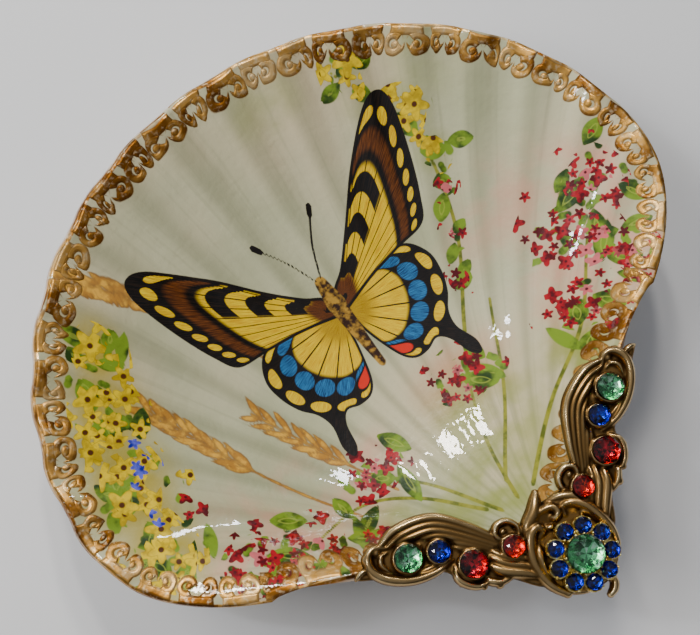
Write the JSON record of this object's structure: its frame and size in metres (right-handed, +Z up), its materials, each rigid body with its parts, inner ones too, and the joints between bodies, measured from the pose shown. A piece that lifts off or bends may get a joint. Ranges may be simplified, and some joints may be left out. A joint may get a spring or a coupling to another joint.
{
  "type": "seashell jewellery dish",
  "caption": "Shallow jewellery dish made from one scallop shell, with a gilt scrolled rim, a painted hollow and a jewelled brass corner at the hinge.",
  "frame": {"origin": "on the table under the middle of the part's outline", "axes": "+X across the shell, +Y from the hinge to the fan's front edge, +Z up out of the hollow"},
  "size_m": [0.136, 0.1256, 0.0374],
  "materials": {
    "shell": "natural shell under clear gloss coat",
    "antique_brass": "antiqued stamped brass",
    "gilt": "bright gilt",
    "glass_green": "faceted, foil backed",
    "glass_blue": "faceted, foil backed",
    "glass_red": "faceted, foil backed",
    "glass_orange": "faceted, foil backed"
  },
  "bodies": {
    "root": {"scallop_shell": "shell", "brass_corner": "antique_brass", "gilt_setting": "gilt", "stone_centre_green": "glass_green", "stone_ring_blue_1": "glass_blue", "stone_ring_blue_2": "glass_blue", "stone_ring_blue_3": "glass_blue", "stone_ring_blue_4": "glass_blue", "stone_ring_blue_5": "glass_blue", "stone_ring_blue_6": "glass_blue", "stone_ring_blue_7": "glass_blue", "stone_ring_blue_8": "glass_blue", "stone_ring_blue_9": "glass_blue", "stone_right_green": "glass_green", "stone_right_blue": "glass_blue", "stone_right_red": "glass_red", "stone_right_orange": "glass_orange", "stone_left_green": "glass_green", "stone_left_blue": "glass_blue", "stone_left_red": "glass_red", "stone_left_orange": "glass_orange"}
  },
  "joints": []
}
